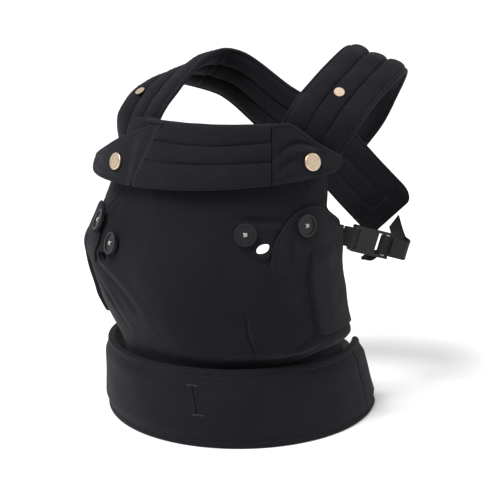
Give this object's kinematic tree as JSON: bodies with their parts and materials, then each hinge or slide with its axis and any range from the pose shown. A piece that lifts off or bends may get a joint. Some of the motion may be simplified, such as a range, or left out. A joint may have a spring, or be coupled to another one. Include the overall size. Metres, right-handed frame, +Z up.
{
  "type": "soft baby carrier",
  "caption": "Soft structured carrier: flared padded waist belt, bulging seat panel, fold-down headrest with press studs, crossing padded shoulder straps and side-release buckles.",
  "frame": {"origin": "under the middle of the belt's front, in the plane of the belt's bottom edge, at the middle of the belt's thickness", "axes": "+Z up and the longest side of the part, -Y the carrier's outer front, +X the right side seen from the front"},
  "size_m": [0.414, 0.3462, 0.4843],
  "materials": {
    "buckle_plastic": "moulded black, slightly satin",
    "button_plastic": "black, dull",
    "canvas": "charcoal cotton canvas, matt",
    "foam": "soft grey padding",
    "gold_metal": "champagne gold, polished",
    "lining": "charcoal cotton lining",
    "thread": "pale sewing thread",
    "webbing": "black woven polypropylene"
  },
  "bodies": {
    "root": {"belt_cover": "canvas", "belt_foam": "foam", "belt_lining": "lining", "button_threads": "thread", "inner_buttons": "button_plastic", "outer_buttons": "button_plastic", "panel_cover": "canvas", "panel_lining": "lining", "panel_padding": "foam", "panel_studs": "gold_metal", "side_left_buckle_female": "buckle_plastic", "side_left_female_webbing": "webbing", "side_left_strap_webbing": "webbing", "side_right_buckle_female": "buckle_plastic", "side_right_female_webbing": "webbing", "side_right_strap_webbing": "webbing", "side_tab_left": "canvas", "side_tab_right": "canvas", "strap_cover_left": "canvas", "strap_cover_right": "canvas", "strap_foam_left_1": "foam", "strap_foam_left_2": "foam", "strap_foam_left_3": "foam", "strap_foam_right_1": "foam", "strap_foam_right_2": "foam", "strap_foam_right_3": "foam", "strap_lining_left": "lining", "strap_lining_right": "lining", "strap_stud_washers": "gold_metal", "strap_studs": "gold_metal", "thigh_pad_left": "canvas", "thigh_pad_right": "canvas", "waist_buckle_female": "buckle_plastic", "waist_female_webbing": "webbing", "waist_webbing_left": "webbing", "waist_webbing_right": "webbing"},
    "headrest": {"headrest_backing": "lining", "headrest_cover": "canvas", "headrest_roll_1": "foam", "headrest_roll_2": "foam", "headrest_roll_3": "foam"},
    "headrest_wing_left": {"headrest_wing_left": "canvas", "snap_cap_left": "gold_metal", "snap_socket_left": "gold_metal"},
    "headrest_wing_right": {"headrest_wing_right": "canvas", "snap_cap_right": "gold_metal", "snap_socket_right": "gold_metal"},
    "side_left_male": {"side_left_buckle_male": "buckle_plastic", "side_left_male_webbing": "webbing"},
    "side_left_arm_upper": {"side_left_buckle_arm_upper": "buckle_plastic"},
    "side_left_arm_lower": {"side_left_buckle_arm_lower": "buckle_plastic"},
    "side_right_male": {"side_right_buckle_male": "buckle_plastic", "side_right_male_webbing": "webbing"},
    "side_right_arm_upper": {"side_right_buckle_arm_upper": "buckle_plastic"},
    "side_right_arm_lower": {"side_right_buckle_arm_lower": "buckle_plastic"},
    "waist_male": {"waist_buckle_male": "buckle_plastic", "waist_male_webbing": "webbing"},
    "waist_arm_upper": {"waist_buckle_arm_upper": "buckle_plastic"},
    "waist_arm_lower": {"waist_buckle_arm_lower": "buckle_plastic"}
  },
  "joints": [
    {"name": "headrest_fold", "type": "hinge", "parent": "root", "child": "headrest", "pos_m": [0, 0.052, 0.405], "axis": [-1, 0, 0], "range_deg": [0, 165]},
    {"name": "headrest_wing_left_fold", "type": "hinge", "parent": "headrest", "child": "headrest_wing_left", "pos_m": [-0.08768, 0.03697, 0.36132], "axis": [0.0851, 0.2473, 0.9652], "range_deg": [0, 45]},
    {"name": "headrest_wing_right_fold", "type": "hinge", "parent": "headrest", "child": "headrest_wing_right", "pos_m": [0.09556, 0.04548, 0.36803], "axis": [0.1113, -0.2374, -0.965], "range_deg": [0, 45]},
    {"name": "side_left_buckle_pull", "type": "slide", "parent": "root", "child": "side_left_male", "axis": [0.8629, 0.5017, -0.0602], "range_m": [0, 0.018]},
    {"name": "side_left_arm_upper_squeeze", "type": "hinge", "parent": "side_left_male", "child": "side_left_arm_upper", "pos_m": [-0.13523, 0.16922, 0.24648], "axis": [0.5026, -0.8645, 0], "range_deg": [0, 6], "stiffness_Nm_per_rad": 0.05},
    {"name": "side_left_arm_lower_squeeze", "type": "hinge", "parent": "side_left_male", "child": "side_left_arm_lower", "pos_m": [-0.13601, 0.16876, 0.2315], "axis": [-0.5026, 0.8645, 0], "range_deg": [0, 6], "stiffness_Nm_per_rad": 0.05},
    {"name": "side_right_buckle_pull", "type": "slide", "parent": "root", "child": "side_right_male", "axis": [0.704, 0.6401, -0.3076], "range_m": [0, 0.018]},
    {"name": "side_right_arm_upper_squeeze", "type": "hinge", "parent": "side_right_male", "child": "side_right_arm_upper", "pos_m": [0.17925, 0.17797, 0.24176], "axis": [0.6727, -0.7399, 0], "range_deg": [0, 6], "stiffness_Nm_per_rad": 0.05},
    {"name": "side_right_arm_lower_squeeze", "type": "hinge", "parent": "side_right_male", "child": "side_right_arm_lower", "pos_m": [0.17584, 0.17487, 0.22748], "axis": [-0.6727, 0.7399, 0], "range_deg": [0, 6], "stiffness_Nm_per_rad": 0.05},
    {"name": "waist_buckle_pull", "type": "slide", "parent": "root", "child": "waist_male", "axis": [1, 0, 0], "range_m": [0, 0.018]},
    {"name": "waist_arm_upper_squeeze", "type": "hinge", "parent": "waist_male", "child": "waist_arm_upper", "pos_m": [0, 0.314, 0.059], "axis": [0, -1, 0], "range_deg": [0, 6], "stiffness_Nm_per_rad": 0.05},
    {"name": "waist_arm_lower_squeeze", "type": "hinge", "parent": "waist_male", "child": "waist_arm_lower", "pos_m": [0, 0.314, 0.031], "axis": [0, 1, 0], "range_deg": [0, 6], "stiffness_Nm_per_rad": 0.05}
  ],
  "couplings": [
    {"joint": "headrest_wing_left_fold", "follows": "headrest_fold", "ratio": 0.2725},
    {"joint": "headrest_wing_right_fold", "follows": "headrest_fold", "ratio": 0.2725},
    {"joint": "side_left_arm_lower_squeeze", "follows": "side_left_arm_upper_squeeze", "ratio": 1},
    {"joint": "side_right_arm_lower_squeeze", "follows": "side_right_arm_upper_squeeze", "ratio": 1},
    {"joint": "waist_arm_lower_squeeze", "follows": "waist_arm_upper_squeeze", "ratio": 1}
  ]
}
